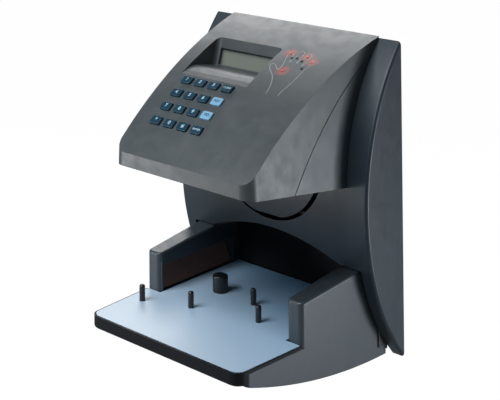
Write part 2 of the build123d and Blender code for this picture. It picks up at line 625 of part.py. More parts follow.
# ---------------------------------------------------------------- wall plate, hinge and latch keeper
with BuildPart() as wall_plate:
    with BuildSketch(Plane.XZ.offset(0)):
        with Locations((0, (9 + 291) / 2)):
            RectangleRounded(221, 291 - 9, 5)
        with Locations((0, 7)):
            RectangleRounded(24, 14, 3)          # centre tongue, whose lower edge is the row's origin
        with Locations(*[(x, z) for x in (-HOLE_X, HOLE_X) for z in (HOLE_Z0, HOLE_Z1)]):
            Circle(HOLE_R, mode=Mode.SUBTRACT)
        with Locations((0, 150)):
            RectangleRounded(90, 70, 10, mode=Mode.SUBTRACT)
        with Locations((0, 236)):
            RectangleRounded(70, 26, 8, mode=Mode.SUBTRACT)
        with Locations((0, 60)):
            RectangleRounded(120, 36, 8, mode=Mode.SUBTRACT)
    extrude(amount=PLATE_T)
    for ex in (-61, -49, 47, 59):
        with BuildSketch(Plane.YZ.offset(ex)):
            with BuildLine():
                Polyline((-1.0, 3.0), (-1.0, 18.0), (-3.0, 18.0), (-9.0, 6.4), (-9.0, 3.0), (-7.5, 1.2), (-4.0, 1.2), close=True)
            make_face()
            with Locations(PIVOT):
                Circle(PIN_R, mode=Mode.SUBTRACT)
        extrude(amount=2)
    # keeper for the lock cam: a leg out of the plate and a bar across
    with BuildSketch(Plane.YZ.offset(-94)):
        with BuildLine():
            Polyline((-1.0, 190.0), (-1.0, 203.0), (-3.0, 203.0), (-16.0, 198.0), (-16.0, 195.0), (-3.0, 190.0), close=True)
        make_face()
    extrude(amount=2)
    with BuildSketch(Plane.YZ.offset(-104)):
        with Locations((-14.5, 196.5)):
            Rectangle(3, 3)
    extrude(amount=12)
wall_plate.part.label = "wall_plate"
export_step(wall_plate.part, "parts/wall_plate.step")

with BuildPart() as hinge_pins:
    for ex in (-61.6, 46.4):
        with BuildSketch(Plane.YZ.offset(ex)):
            with Locations(PIVOT):
                Circle(PIN_R)
        extrude(amount=15.2)
hinge_pins.part.label = "hinge_pins"
export_step(hinge_pins.part, "parts/hinge_pins.step")

LEAF_Y0, LEAF_Y1 = -10.0, -12.0
with BuildPart() as hinge_leaf:
    with BuildSketch(Plane.XZ.offset(-LEAF_Y0)):
        with Locations((0, 25)):
            Rectangle(198, 34)
        with Locations((-30, 24), (30, 24)):
            Circle(1.5, mode=Mode.SUBTRACT)
    extrude(amount=2)
    for ex in (-58, 50):
        with BuildSketch(Plane.YZ.offset(ex)):
            with BuildLine():
                Polyline((-6, 6.5), (-8.2, 8.6), (-11.0, 9.5), (-12.0, 9.5), (-12.0, 7.0), (-9.8, 5.0), (-8.0, 1.8), (-6.0, 2.0), close=True)
            make_face()
            with Locations(PIVOT):
                Circle(3.0)
                Circle(PIN_R + PIN_FIT, mode=Mode.SUBTRACT)
        extrude(amount=8)
    with BuildSketch(Plane.YZ.offset(98.6)):
        with Locations((-18, 24)):
            Rectangle(12, 24)
    extrude(amount=0.9)
    with BuildSketch(Plane.YZ.offset(-98.6)):
        with Locations((-18, 24)):
            Rectangle(12, 24)
    extrude(amount=-0.9)
    with BuildSketch(Plane.XZ.offset(-LEAF_Y0)):
        with Locations((99.05, 24), (-99.05, 24)):
            Rectangle(0.9, 24)
    extrude(amount=3)
hinge_leaf.part.label = "hinge_leaf"
export_step(hinge_leaf.part, "parts/hinge_leaf.step")

# ---------------------------------------------------------------- chassis plate with board standoffs
BOARD_Y = -12.0
STANDOFFS = [(-72, 140), (72, 140), (-72, 232), (72, 232)]
with BuildPart() as chassis_plate:
    with BuildSketch(Plane.XZ.offset(4.0)):
        with Locations((0, 199)):
            RectangleRounded(219, 170, 4)
        with Locations((0, 190)):
            RectangleRounded(118, 84, 6, mode=Mode.SUBTRACT)
        with Locations((-98, 196)):
            Rectangle(18, 24, mode=Mode.SUBTRACT)
        with Locations((TAMPER_X, TAMPER_Z)):
            Circle(2.5, mode=Mode.SUBTRACT)
        with Locations((-HOLE_X, HOLE_Z1), (HOLE_X, HOLE_Z1)):
            Circle(6.5, mode=Mode.SUBTRACT)
        with Locations(*POSTS):
            Circle(1.5, mode=Mode.SUBTRACT)
    extrude(amount=1.2)
    with BuildSketch(Plane.XZ.offset(5.2)):
        with Locations(*STANDOFFS):
            RegularPolygon(3.0, 6)
            Circle(1.25, mode=Mode.SUBTRACT)
    extrude(amount=-BOARD_Y - 5.2)
chassis_plate.part.label = "chassis_plate"
export_step(chassis_plate.part, "parts/chassis_plate.step")

# ---------------------------------------------------------------- electronics in the base
with BuildPart() as main_board:
    with BuildSketch(Plane.XZ.offset(-BOARD_Y)):
        with Locations((0, 186)):
            RectangleRounded(156, 104, 3)
        with Locations(*STANDOFFS):
            Circle(1.5, mode=Mode.SUBTRACT)
    extrude(amount=1.6)
main_board.part.label = "main_board"
export_step(main_board.part, "parts/main_board.step")

with BuildPart() as board_chips:
    with BuildSketch(Plane.XZ.offset(-BOARD_Y + 1.6)):
        with Locations((-40, 205)):
            Rectangle(28, 28)
        with Locations((5, 210)):
            Rectangle(34, 12)
        with Locations((5, 190)):
            Rectangle(34, 12)
        with Locations((-45, 168)):
            Rectangle(18, 12)
        with Locations((-10, 160)):
            Rectangle(12, 18)
    extrude(amount=3.0)
    with BuildSketch(Plane.XZ.offset(-BOARD_Y + 1.6)):
        with Locations((55, 205), (55, 190)):
            Circle(5.0)
    extrude(amount=13)
board_chips.part.label = "board_chips"
export_step(board_chips.part, "parts/board_chips.step")

with BuildPart() as terminal_block:
    with BuildSketch(Plane.XZ.offset(4.2)):
        with Locations((-6, 156)):
            Rectangle(80, 11)
    extrude(amount=7.8)
    with BuildSketch(Plane.XZ.offset(4.2)):
        with Locations((-6, 158)):
            with GridLocations(5.0, 1, 15, 1):
                Circle(1.6)
    extrude(amount=1.0, mode=Mode.SUBTRACT)
terminal_block.part.label = "terminal_block"
export_step(terminal_block.part, "parts/terminal_block.step")

with BuildPart() as network_jack:
    with BuildSketch(Plane.XZ.offset(4.4)):
        with Locations((46, 162)):
            Rectangle(16, 22)
    extrude(amount=7.6)
    with BuildSketch(Plane.XY.offset(151)):
        with Locations((46, -8.4)):
            Rectangle(12, 5.4)
    extrude(amount=12, mode=Mode.SUBTRACT)
network_jack.part.label = "network_jack"
export_step(network_jack.part, "parts/network_jack.step")

with BuildPart() as dip_switch:
    with BuildSketch(Plane.XZ.offset(8.0)):
        with Locations((-34, 186)):
            Rectangle(12, 10)
    extrude(amount=4.0)
    with BuildSketch(Plane.XZ.offset(7.2)):
        with Locations((-34, 187.4)):
            with GridLocations(2.54, 1, 4, 1):
                Rectangle(1.2, 1.6)
    extrude(amount=1.0)
dip_switch.part.label = "dip_switch"
export_step(dip_switch.part, "parts/dip_switch.step")

with BuildPart() as coin_cell:
    with BuildSketch(Plane.XZ.offset(8.4)):
        with Locations((10, 196)):
            Circle(10)
    extrude(amount=3.2)
    with BuildSketch(Plane.XZ.offset(11.6)):
        with Locations((10, 196)):
            Rectangle(24, 14)
    extrude(amount=0.4)
coin_cell.part.label = "coin_cell"
export_step(coin_cell.part, "parts/coin_cell.step")

with BuildPart() as beeper:
    with BuildSketch(Plane.XZ.offset(-BOARD_Y + 1.6)):
        with Locations((32, 160)):
            Circle(7)
            Circle(1.2, mode=Mode.SUBTRACT)
    extrude(amount=7)
beeper.part.label = "beeper"
export_step(beeper.part, "parts/beeper.step")

# ---------------------------------------------------------------- lock
with BuildPart() as lock_body:
    with BuildSketch(Plane.YZ.offset(-WIDTH / 2 - 1.2)):
        with Locations((LOCK_Y, LOCK_Z)):
            Circle(11)
            Circle(6.05, mode=Mode.SUBTRACT)
    extrude(amount=1.2)
    with BuildSketch(Plane.YZ.offset(-WIDTH / 2)):
        with Locations((LOCK_Y, LOCK_Z)):
            Circle(9.0)
            Circle(6.05, mode=Mode.SUBTRACT)
    extrude(amount=10.5)
    rim = lock_body.edges().filter_by(lambda e: e.center().X < -WIDTH / 2 - 1.1 and e.length > 60)
    fillet(rim, radius=0.8)
lock_body.part.label = "lock_body"
export_step(lock_body.part, "parts/lock_body.step")

with BuildPart() as lock_nut:
    with BuildSketch(Plane.YZ.offset(-WIDTH / 2 + SKIN)):
        with Locations((LOCK_Y, LOCK_Z)):
            RegularPolygon(12.5, 6)
            Circle(9.0, mode=Mode.SUBTRACT)
    extrude(amount=3.5)
lock_nut.part.label = "lock_nut"
export_step(lock_nut.part, "parts/lock_nut.step")

with BuildPart() as lock_cylinder:
    with BuildSketch(Plane.YZ.offset(-WIDTH / 2 - 0.8)):
        with Locations((LOCK_Y, LOCK_Z)):
            Circle(6.0)
    extrude(amount=12.3)
    with BuildSketch(Plane.YZ.offset(-WIDTH / 2 - 0.8)):
        with Locations((LOCK_Y, LOCK_Z)):
            Rectangle(1.4, 6.4)
            Circle(1.6)
    extrude(amount=6, mode=Mode.SUBTRACT)
lock_cylinder.part.label = "lock_cylinder"
export_step(lock_cylinder.part, "parts/lock_cylinder.step")

with BuildPart() as lock_cam:
    with BuildSketch(Plane.YZ.offset(-101.0)):
        with Locations((LOCK_Y, LOCK_Z)):
            Circle(4.5)
        with Locations((LOCK_Y, LOCK_Z - 9)):
            Rectangle(4, 18)
        with Locations((LOCK_Y + 2.5, LOCK_Z - 16.5)):
            Rectangle(9, 3)
    extrude(amount=2.0)
lock_cam.part.label = "lock_cam"
export_step(lock_cam.part, "parts/lock_cam.step")

# ---------------------------------------------------------------- tamper switch
with BuildPart() as tamper_switch:
    with BuildSketch(Plane.XZ.offset(5.2)):
        with Locations((TAMPER_X, TAMPER_Z)):
            Rectangle(9, 16)
            Circle(1.55, mode=Mode.SUBTRACT)
    extrude(amount=13)
tamper_switch.part.label = "tamper_switch"
export_step(tamper_switch.part, "parts/tamper_switch.step")

with BuildPart() as tamper_plunger:
    with BuildSketch(Plane.XZ.offset(2.3)):
        with Locations((TAMPER_X, TAMPER_Z)):
            Circle(1.5)
    extrude(amount=11)
    fillet(tamper_plunger.edges().filter_by(lambda e: e.center().Y > -2.5), radius=0.7)
tamper_plunger.part.label = "tamper_plunger"
export_step(tamper_plunger.part, "parts/tamper_plunger.step")

# ---------------------------------------------------------------- display
with BuildPart() as lcd_window:
    with BuildSketch(lcd_plane(-2.85)):
        Rectangle(80, 29)
    extrude(amount=-1.2)
lcd_window.part.label = "lcd_window"
export_step(lcd_window.part, "parts/lcd_window.step")

with BuildPart() as lcd_bezel:
    with BuildSketch(lcd_plane(-4.15)):
        Rectangle(80, 30)
        with Locations((-3.0, 0.5)):
            Rectangle(70, 20, mode=Mode.SUBTRACT)
    extrude(amount=-2.0)
lcd_bezel.part.label = "lcd_bezel"
export_step(lcd_bezel.part, "parts/lcd_bezel.step")

with BuildPart() as lcd_module:
    with BuildSketch(lcd_plane(-6.25)):
        Rectangle(80, 31)
    extrude(amount=-1.6)
    with BuildSketch(lcd_plane(-6.25)):
        with Locations((-3.0, 0.5)):
            Rectangle(69, 19)
    extrude(amount=1.4)
lcd_module.part.label = "lcd_module"
export_step(lcd_module.part, "parts/lcd_module.step")

# ---------------------------------------------------------------- keypad
ROW_NAMES = [["1", "2", "3", "clear"], ["4", "5", "6", "no"], ["7", "8", "9", "yes"], ["star", "0", "hash", "enter"]]
for r, ks in enumerate(KEY_S):
    for c, kx in enumerate(KEY_X):
        with BuildPart() as key:
            with BuildSketch(top_plane(kx, ks, -SKIN - 0.4)):
                RectangleRounded(KEY_W, KEY_L, 1.4)
            extrude(amount=SKIN + 0.4 + KEY_PROUD)
            cap = key.faces().sort_by(Axis((0, 0, 0), top_plane(kx, ks).z_dir))[-1]
            fillet(cap.edges(), radius=0.7)
            with BuildSketch(top_plane(kx, ks, -SKIN - 0.4)):
                RectangleRounded(KEY_W + 1.8, KEY_L + 1.2, 1.6)
            extrude(amount=-1.0)
        name = "key_" + ROW_NAMES[r][c]
        key.part.label = name
        export_step(key.part, "parts/" + name + ".step")

KEYPAD_S = (KEY_S[0] + KEY_S[-1]) / 2
KEYPAD_X = (KEY_X[0] + KEY_X[-1]) / 2
with BuildPart() as keypad_mat:
    with BuildSketch(top_plane(KEYPAD_X, KEYPAD_S, -7.0)):
        Rectangle(68, 68)
    extrude(amount=-1.5)
keypad_mat.part.label = "keypad_mat"
export_step(keypad_mat.part, "parts/keypad_mat.step")

with BuildPart() as keypad_board:
    with BuildSketch(top_plane(KEYPAD_X, KEYPAD_S, -8.5)):
        Rectangle(72, 70)
    extrude(amount=-1.6)
keypad_board.part.label = "keypad_board"
export_step(keypad_board.part, "parts/keypad_board.step")

with BuildPart() as placement_leds:
    for lx, ls in LED_SPOTS:
        with BuildSketch(top_plane(lx, ls, 0.35)):
            Circle(1.5)
        extrude(amount=-6)
placement_leds.part.label = "placement_leds"
export_step(placement_leds.part, "parts/placement_leds.step")

# ---------------------------------------------------------------- camera over the platen
with BuildPart() as camera_window:
    with BuildSketch(under_plane(0, CAM_Y, SKIN)):
        Rectangle(70, 46)
    extrude(amount=1.5)
    with BuildSketch(under_plane(0, CAM_Y, 0.6)):
        Rectangle(63.4, 39.4)
    extrude(amount=SKIN - 0.6)
camera_window.part.label = "camera_window"
export_step(camera_window.part, "parts/camera_window.step")

with BuildPart() as ir_led_board:
    with BuildSketch(under_plane(0, CAM_Y, 12)):
        Rectangle(60, 40)
        Circle(10, mode=Mode.SUBTRACT)
    extrude(amount=1.6)
ir_led_board.part.label = "ir_led_board"
export_step(ir_led_board.part, "parts/ir_led_board.step")

with BuildPart() as ir_leds:
    with BuildSketch(under_plane(0, CAM_Y, 12)):
        with GridLocations(44, 26, 2, 2):
            Circle(2.5)
        with GridLocations(26, 32, 2, 2):
            Circle(2.5)
    extrude(amount=-5.5)
    fillet(ir_leds.edges().filter_by(GeomType.CIRCLE).sort_by(lambda e: (e.center() - under_plane(0, CAM_Y, 12).origin).dot(UNDER_UP))[:8],
           radius=1.8)
ir_leds.part.label = "ir_leds"
export_step(ir_leds.part, "parts/ir_leds.step")

with BuildPart() as camera_board:
    with BuildSketch(under_plane(0, CAM_Y, 32)):
        Rectangle(32, 32)
    extrude(amount=1.6)
camera_board.part.label = "camera_board"
export_step(camera_board.part, "parts/camera_board.step")

with BuildPart() as camera_lens:
    with BuildSketch(under_plane(0, CAM_Y, 32)):
        Circle(7)
    extrude(amount=-10)
    with BuildSketch(under_plane(0, CAM_Y, 22)):
        Circle(8.2)
    extrude(amount=-5)
    with BuildSketch(under_plane(0, CAM_Y, 17)):
        Circle(5.5)
    extrude(amount=1.5, mode=Mode.SUBTRACT)
camera_lens.part.label = "camera_lens"
export_step(camera_lens.part, "parts/camera_lens.step")

with BuildPart() as camera_bracket:
    with BuildSketch(under_plane(0, CAM_Y, 33.6)):
        Rectangle(78, 30)
        Rectangle(16, 16, mode=Mode.SUBTRACT)
    extrude(amount=1.2)
    with BuildSketch(under_plane(0, CAM_Y, SKIN)):
        with Locations((-38.4, 0), (38.4, 0)):
            Rectangle(1.2, 30)
    extrude(amount=33.6 - SKIN)
    with BuildSketch(under_plane(0, CAM_Y, SKIN)):
        with Locations((-42, 0), (42, 0)):
            Rectangle(8, 30)
    extrude(amount=1.2)
camera_bracket.part.label = "camera_bracket"
export_step(camera_bracket.part, "parts/camera_bracket.step")

# ---------------------------------------------------------------- flat cable from the main board to the keypad
with BuildPart() as display_cable:
    with BuildSketch(Plane.YZ.offset(-24)):
        with BuildLine():
            Polyline((-14.0, 224), (-34.0, 222), (-72.0, 226), (-96.0, 236), (-112.0, 240.5), (-112.3, 239.4),
                     (-96.2, 234.8), (-72.2, 224.8), (-34.2, 220.8), (-14.0, 222.8), close=True)
        make_face()
    extrude(amount=24)
display_cable.part.label = "display_cable"
export_step(display_cable.part, "parts/display_cable.step")

# ---------------------------------------------------------------- screws: back plate, head cover, hinge leaf
with BuildPart() as case_screws:
    with BuildSketch(Plane.XZ.offset(2.7)):
        with Locations(*POSTS):
            Circle(2.6)
    extrude(amount=1.3)
    with BuildSketch(Plane.XZ.offset(3.9)):
        with Locations(*POSTS):
            Circle(1.2)
    extrude(amount=8)
    with BuildSketch(Plane.XZ.offset(-LEAF_Y0 - 1.3)):
        with Locations((-30, 24), (30, 24)):
            Circle(2.6)
    extrude(amount=1.3)
    with BuildSketch(Plane.XZ.offset(-LEAF_Y0 - 0.1)):
        with Locations((-30, 24), (30, 24)):
            Circle(1.2)
    extrude(amount=2.0)
    for bx, by in BOSSES:
        with BuildSketch(under_plane(bx, by, -1.3)):
            Circle(2.6)
        extrude(amount=1.3)
        with BuildSketch(under_plane(bx, by, -0.1)):
            Circle(1.2)
        extrude(amount=9.0)
case_screws.part.label = "case_screws"
export_step(case_screws.part, "parts/case_screws.step")
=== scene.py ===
import json
import math
import random

import bmesh
import bpy
from mathutils import Matrix, Vector


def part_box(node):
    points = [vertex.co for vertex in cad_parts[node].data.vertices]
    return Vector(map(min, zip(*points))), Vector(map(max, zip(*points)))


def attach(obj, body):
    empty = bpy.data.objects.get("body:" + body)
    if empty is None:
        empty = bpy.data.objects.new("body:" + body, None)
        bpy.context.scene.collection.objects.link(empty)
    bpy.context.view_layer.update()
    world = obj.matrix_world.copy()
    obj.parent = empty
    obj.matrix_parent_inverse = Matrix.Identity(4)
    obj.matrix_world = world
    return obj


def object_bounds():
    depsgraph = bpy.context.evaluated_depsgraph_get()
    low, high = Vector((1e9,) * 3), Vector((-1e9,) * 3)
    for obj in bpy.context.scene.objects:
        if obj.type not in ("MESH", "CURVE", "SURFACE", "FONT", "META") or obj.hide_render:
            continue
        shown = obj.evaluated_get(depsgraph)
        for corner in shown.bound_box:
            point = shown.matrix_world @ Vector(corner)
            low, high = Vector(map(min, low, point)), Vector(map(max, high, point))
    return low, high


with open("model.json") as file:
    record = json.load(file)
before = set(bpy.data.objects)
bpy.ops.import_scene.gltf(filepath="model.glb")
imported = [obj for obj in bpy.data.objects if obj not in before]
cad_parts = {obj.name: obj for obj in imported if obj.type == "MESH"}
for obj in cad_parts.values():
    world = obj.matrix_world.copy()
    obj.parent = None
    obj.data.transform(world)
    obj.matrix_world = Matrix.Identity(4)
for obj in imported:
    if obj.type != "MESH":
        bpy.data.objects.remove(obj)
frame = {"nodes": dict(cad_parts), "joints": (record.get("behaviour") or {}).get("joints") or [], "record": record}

cad_lo, cad_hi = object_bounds()
scene = bpy.context.scene
nodes = frame["nodes"]
random.seed(7)


# ---------------------------------------------------------------- node helpers
class Tree:
    def __init__(self, name):
        self.mat = bpy.data.materials.new(name)
        self.mat.use_nodes = True
        self.nt = self.mat.node_tree
        self.nt.nodes.clear()
        self.out = self.nt.nodes.new("ShaderNodeOutputMaterial")
        self.bsdf = self.nt.nodes.new("ShaderNodeBsdfPrincipled")
        self.link(self.bsdf.outputs[0], self.out.inputs[0])
        self.coord = self.nt.nodes.new("ShaderNodeTexCoord").outputs["Object"]

    def link(self, a, b):
        self.nt.links.new(a, b)

    def put(self, socket, value):
        if hasattr(value, "is_output"):
            self.link(value, socket)
        else:
            socket.default_value = value

    def node(self, kind, **inputs):
        n = self.nt.nodes.new(kind)
        for k, v in inputs.items():
            self.put(n.inputs[k.replace("_", " ")], v)
        return n

    def math(self, op, a, b=0.0, c=0.0, clamp=False):
        n = self.nt.nodes.new("ShaderNodeMath")
        n.operation = op
        n.use_clamp = clamp
        for i, v in enumerate((a, b, c)):
            self.put(n.inputs[i], v)
        return n.outputs[0]

    def vmath(self, op, a, b=(0, 0, 0)):
        n = self.nt.nodes.new("ShaderNodeVectorMath")
        n.operation = op
        self.put(n.inputs[0], a)
        self.put(n.inputs[1], b)
        return n.outputs[1] if op in ("DOT_PRODUCT", "LENGTH", "DISTANCE") else n.outputs[0]

    def noise(self, scale, detail=3.0, rough=0.55, stretch=None):
        v = self.coord
        if stretch:
            m = self.nt.nodes.new("ShaderNodeMapping")
            m.inputs["Scale"].default_value = stretch
            self.link(v, m.inputs["Vector"])
            v = m.outputs[0]
        n = self.node("ShaderNodeTexNoise", Vector=v, Scale=scale, Detail=detail, Roughness=rough)
        return n.outputs["Fac"]

    def ramp(self, fac, lo, hi, a=0.0, b=1.0):
        n = self.nt.nodes.new("ShaderNodeMapRange")
        n.interpolation_type = "SMOOTHSTEP"
        self.put(n.inputs["Value"], fac)
        n.inputs["From Min"].default_value = lo
        n.inputs["From Max"].default_value = hi
        n.inputs["To Min"].default_value = a
        n.inputs["To Max"].default_value = b
        return n.outputs[0]

    def mix(self, fac, a, b, mode="MIX"):
        n = self.nt.nodes.new("ShaderNodeMix")
        n.data_type = "RGBA"
        n.blend_type = mode
        self.put(n.inputs[0], fac)
        self.put(n.inputs[6], a if hasattr(a, "is_output") else (*a[:3], 1.0))
        self.put(n.inputs[7], b if hasattr(b, "is_output") else (*b[:3], 1.0))
        return n.outputs[2]

    def edge(self, radius):
        """1 on convex and concave edges, 0 on flats."""
        bev = self.node("ShaderNodeBevel", Radius=radius)
        bev.samples = 4
        geo = self.nt.nodes.new("ShaderNodeNewGeometry")
        d = self.vmath("DOT_PRODUCT", bev.outputs[0], geo.outputs["Normal"])
        return self.math("SUBTRACT", 1.0, d)

    def up(self):
        geo = self.nt.nodes.new("ShaderNodeNewGeometry")
        return self.vmath("DOT_PRODUCT", geo.outputs["Normal"], (0, 0, 1))


def set_in(bsdf, **kw):
    names = {"rough": "Roughness", "metal": "Metallic", "spec": "Specular IOR Level", "coat": "Coat Weight",
             "coat_rough": "Coat Roughness", "trans": "Transmission Weight", "ior": "IOR", "alpha": "Alpha",
             "sheen": "Sheen Weight", "emit": "Emission Strength", "sss": "Subsurface Weight"}
    for k, v in kw.items():
        bsdf.inputs[names[k]].default_value = v


def moulded(name, color, rough=0.5, spec=0.5, grain=0.35, grain_mm=0.45, vary=0.06, edge=0.5, edge_tint=None,
            dust=0.05, coat=0.0, coat_rough=0.2, round_mm=0.5, tint=None):
    """Injection moulded plastic: spark-eroded grain, slow colour drift, edges lightened as handling wear and painted
    edge highlight, and a little dust.
    """
    t = Tree(name)
    slow = t.noise(9.0, 3.0)
    mid = t.noise(70.0, 4.0, 0.6)
    dark = tuple(c * (1 - vary) for c in color)
    light = tuple(min(1, c * (1 + vary)) for c in color)
    col = t.mix(t.ramp(slow, 0.35, 0.65), dark, light)
    if tint:
        col = tint(t, col)
    # edges lightened as handling wear and painted edge highlight, on convex and concave edges alike: thin, broken by
    # noise
    edge_wear_and_highlight = t.math("MULTIPLY", t.ramp(t.edge(0.0011), 0.02, 0.22), t.ramp(mid, 0.38, 0.62))
    edge_wear_and_highlight = t.math("MULTIPLY", edge_wear_and_highlight, edge)
    et = edge_tint or tuple(min(1, c * 1.7 + 0.03) for c in color)
    col = t.mix(edge_wear_and_highlight, col, et)
    if dust:
        d = t.math("MULTIPLY", t.ramp(t.up(), 0.45, 1.0), t.ramp(t.noise(38.0, 6.0, 0.7), 0.45, 0.75))
        col = t.mix(t.math("MULTIPLY", d, dust), col, (0.55, 0.54, 0.52))
    t.link(col, t.bsdf.inputs["Base Color"])
    r = t.math("ADD", t.ramp(mid, 0.3, 0.7, -0.05, 0.05), rough)
    r = t.math("SUBTRACT", r, t.math("MULTIPLY", edge_wear_and_highlight, 0.15))
    t.link(r, t.bsdf.inputs["Roughness"])
    vor = t.node("ShaderNodeTexVoronoi", Vector=t.coord, Scale=1000.0 / grain_mm)
    h = t.math("ADD", t.math("MULTIPLY", vor.outputs["Distance"], 0.6), t.math("MULTIPLY", t.noise(700.0 / grain_mm, 2.0), 0.5))
    bev = t.node("ShaderNodeBevel", Radius=round_mm / 1000.0)
    bev.samples = 4
    bump = t.node("ShaderNodeBump", Strength=grain, Distance=0.00012, Height=h)
    t.link(bev.outputs[0], bump.inputs["Normal"])
    t.link(bump.outputs[0], t.bsdf.inputs["Normal"])
    set_in(t.bsdf, spec=spec, coat=coat, coat_rough=coat_rough)
    return t


def metal(name, color, rough=0.35, brushed=(1, 1, 1), scale=400.0, strength=0.15, spots=0.1):
    t = Tree(name)
    streak = t.noise(scale, 2.0, 0.5, stretch=brushed)
    blot = t.noise(45.0, 4.0, 0.6)
    col = t.mix(t.ramp(blot, 0.3, 0.7), tuple(c * (1 - spots) for c in color), tuple(min(1, c * (1 + spots)) for c in color))
    edge_wear_and_highlight = t.ramp(t.edge(0.0008), 0.02, 0.25)
    col = t.mix(t.math("MULTIPLY", edge_wear_and_highlight, 0.35), col, (0.85, 0.85, 0.85))
    t.link(col, t.bsdf.inputs["Base Color"])
    t.link(t.math("ADD", t.ramp(streak, 0.3, 0.7, -0.08, 0.08), rough), t.bsdf.inputs["Roughness"])
    bev = t.node("ShaderNodeBevel", Radius=0.0004)
    bev.samples = 4
    bump = t.node("ShaderNodeBump", Strength=strength, Distance=0.0001, Height=streak)
    t.link(bev.outputs[0], bump.inputs["Normal"])
    t.link(bump.outputs[0], t.bsdf.inputs["Normal"])
    set_in(t.bsdf, metal=1.0)
    return t


def board(name, color):
    """Solder-masked board with tracks and pads."""
    t = Tree(name)
    m = t.nt.nodes.new("ShaderNodeMapping")
    m.inputs["Rotation"].default_value = (math.radians(90), 0, 0)
    t.link(t.coord, m.inputs["Vector"])
    br = t.node("ShaderNodeTexBrick", Vector=m.outputs[0], Scale=160.0, Mortar_Size=0.06, Mortar_Smooth=0.1)
    br.inputs["Color1"].default_value = (*[c * 0.8 for c in color], 1)
    br.inputs["Color2"].default_value = (*color, 1)
    br.inputs["Mortar"].default_value = (*[min(1, c * 1.7) for c in color], 1)
    vor = t.node("ShaderNodeTexVoronoi", Vector=t.coord, Scale=260.0)
    pads = t.ramp(vor.outputs["Distance"], 0.13, 0.10)
    col = t.mix(pads, br.outputs["Color"], (0.75, 0.68, 0.45))
    t.link(col, t.bsdf.inputs["Base Color"])
    t.link(t.math("MULTIPLY", pads, 0.7), t.bsdf.inputs["Metallic"])
    bump = t.node("ShaderNodeBump", Strength=0.3, Distance=0.0001, Height=br.outputs["Fac"])
    t.link(bump.outputs[0], t.bsdf.inputs["Normal"])
    set_in(t.bsdf, rough=0.3, coat=0.3)
    return t


# ---------------------------------------------------------------- key joints, and geometry of the head top
joints = {j["name"]: j for j in frame["joints"]}


def node_points(name):
    return [v.co.copy() for v in nodes[name].data.vertices]


def clusters(name, gap):
    """Groups of a node's vertices that stand apart from each other."""
    groups = []
    for p in node_points(name):
        for g in groups:
            if (g[0] - p).length < gap:
                g.append(p)
                break
        else:
            groups.append([p])
    return groups


TOP_C = Vector((0.0, 0.1061, -0.1276))
TOP_R = 0.4374
TOP_START = math.atan2(0.2963 + 0.1276, -0.0013 - 0.1061)


def top_point(x, s, lift=0.0):
    """A point on the curved head top: x across, s down the slope from its rear edge, both in mm."""
    a = TOP_START + s / 1000.0 / TOP_R
    r = TOP_R + lift / 1000.0
    return Vector((x / 1000.0, TOP_C.y + r * math.cos(a), TOP_C.z + r * math.sin(a)))


def top_normal(s):
    a = TOP_START + s / 1000.0 / TOP_R
    return Vector((0, math.cos(a), math.sin(a)))


# ---------------------------------------------------------------- materials
led_spots = []
for g in clusters("placement_leds", 0.012):
    c = sum(g, Vector()) / len(g)
    led_spots.append(c)


def cover_tint(t, col):
    """Red printed speckle round each indicator."""
    speck = t.ramp(t.noise(900.0, 2.0), 0.42, 0.6)
    total = None
    for c in led_spots:
        d = t.vmath("DISTANCE", t.coord, tuple(c))
        m = t.ramp(d, 0.0095, 0.0045)
        total = m if total is None else t.math("MAXIMUM", total, m)
    total = t.math("MULTIPLY", total, speck)
    return t.mix(t.math("MULTIPLY", total, 0.8), col, (0.50, 0.06, 0.035))


mats = {}
mats["cover_plastic"] = moulded("cover_plastic", (0.050, 0.058, 0.062), rough=0.40, grain=0.4, grain_mm=0.5, dust=0.04, tint=cover_tint)
mats["body_plastic"] = moulded("body_plastic", (0.036, 0.047, 0.056), rough=0.38, grain=0.4, grain_mm=0.5, dust=0.04)
mats["tray_plastic"] = moulded("tray_plastic", (0.034, 0.045, 0.055), rough=0.38, grain=0.4, grain_mm=0.5, dust=0.04)
# base_plastic is a darker, less glossy copy of the tray plastic: painted shade that keeps the base shell darker than
# the tray
mats["base_plastic"] = moulded("base_plastic", (0.020, 0.031, 0.041), rough=0.40, spec=0.36, grain=0.4, grain_mm=0.5, dust=0.04)
mats["black_plastic"] = moulded("black_plastic", (0.006, 0.007, 0.009), rough=0.48, spec=0.12, grain=0.2, grain_mm=0.6, dust=0.03)
mats["pin_plastic"] = moulded("pin_plastic", (0.010, 0.011, 0.013), rough=0.28, grain=0.08, dust=0.0, edge=0.3)
mats["liner_black"] = moulded("liner_black", (0.008, 0.008, 0.010), rough=0.75, spec=0.2, grain=0.3, dust=0.0)
mats["key_dark"] = moulded("key_dark", (0.003, 0.033, 0.058), rough=0.36, spec=0.35, grain=0.1, edge=0.6, edge_tint=(0.05, 0.16, 0.24), dust=0.0, round_mm=0.4)
mats["key_light"] = moulded("key_light", (0.16, 0.34, 0.50), rough=0.4, grain=0.1, edge=0.4, dust=0.0, round_mm=0.4)
mats["key_mat"] = moulded("key_mat", (0.30, 0.31, 0.33), rough=0.7, grain=0.2, dust=0.0)
mats["plate_steel"] = moulded("plate_steel", (0.020, 0.021, 0.024), rough=0.5, grain=0.7, grain_mm=0.9, edge=0.7, edge_tint=(0.3, 0.3, 0.3), dust=0.02)
mats["zinc_steel"] = metal("zinc_steel", (0.36, 0.355, 0.34), rough=0.36, brushed=(1, 8, 8))
mats["lock_chrome"] = metal("lock_chrome", (0.40, 0.405, 0.42), rough=0.24, scale=900.0, strength=0.05)
mats["board_green"] = board("board_green", (0.020, 0.16, 0.06))
mats["chip_black"] = moulded("chip_black", (0.02, 0.02, 0.02), rough=0.55, grain=0.2, dust=0.0)
mats["terminal_green"] = moulded("terminal_green", (0.03, 0.30, 0.12), rough=0.4, grain=0.1, dust=0.0)
